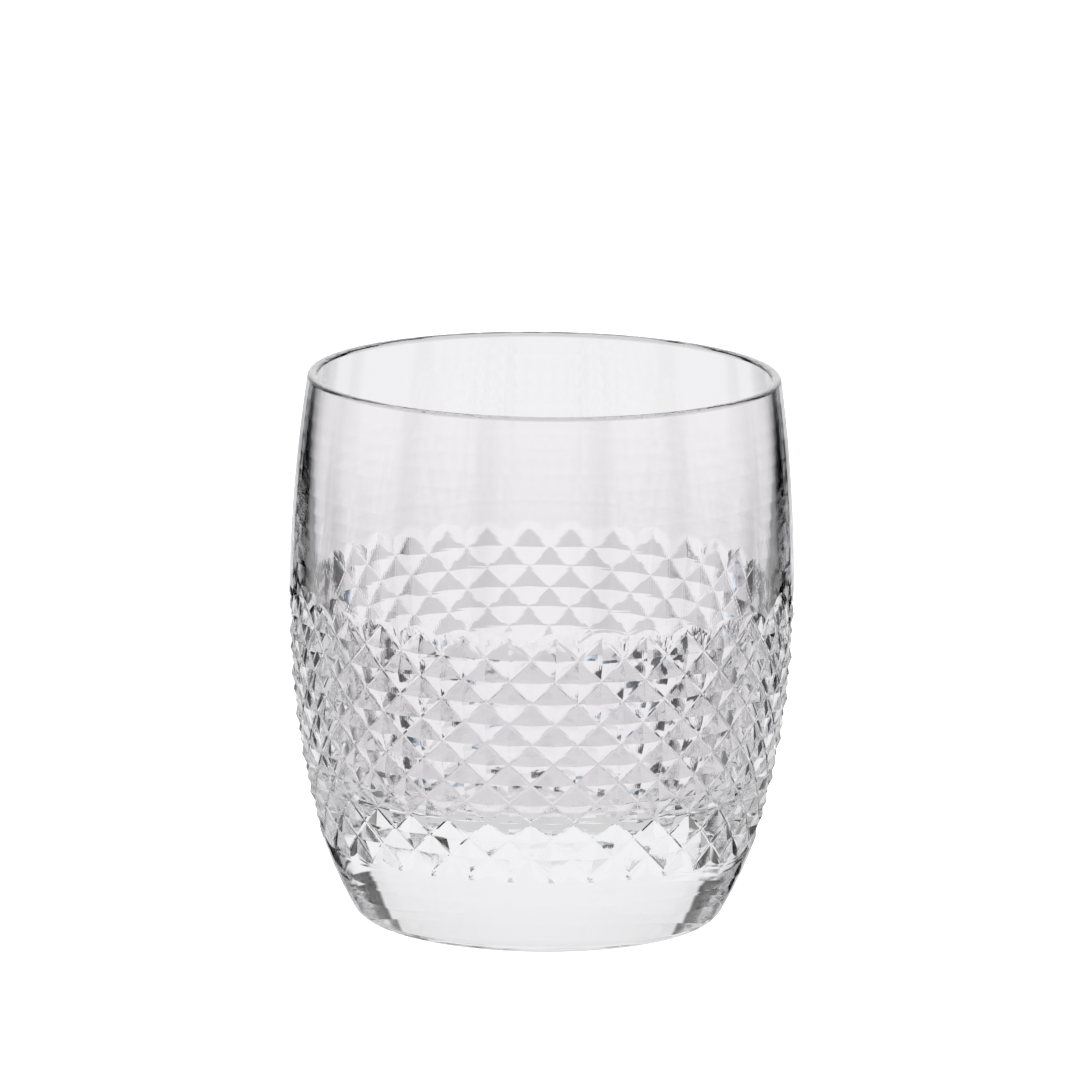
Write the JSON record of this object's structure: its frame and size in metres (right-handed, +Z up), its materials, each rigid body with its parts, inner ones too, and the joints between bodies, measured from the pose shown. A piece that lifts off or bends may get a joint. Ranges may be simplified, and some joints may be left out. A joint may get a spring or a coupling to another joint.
{
  "type": "whiskey tumbler",
  "caption": "Barrel-shaped drinking tumbler of heavy clear crystal, with a thick flat base, a plain upper wall and a band of cut diamonds round the body.",
  "frame": {"origin": "centre of the flat base, on the surface that the tumbler stands on", "axes": "+Z up along the axis of the glass, out of its mouth; -Y is the front"},
  "size_m": [0.087, 0.087, 0.095],
  "materials": {
    "crystal": "fire-polished clear crystal, colourless with a slight cool tint in thick glass; cut facets polished"
  },
  "bodies": {
    "root": {"tumbler": "crystal"}
  },
  "joints": []
}
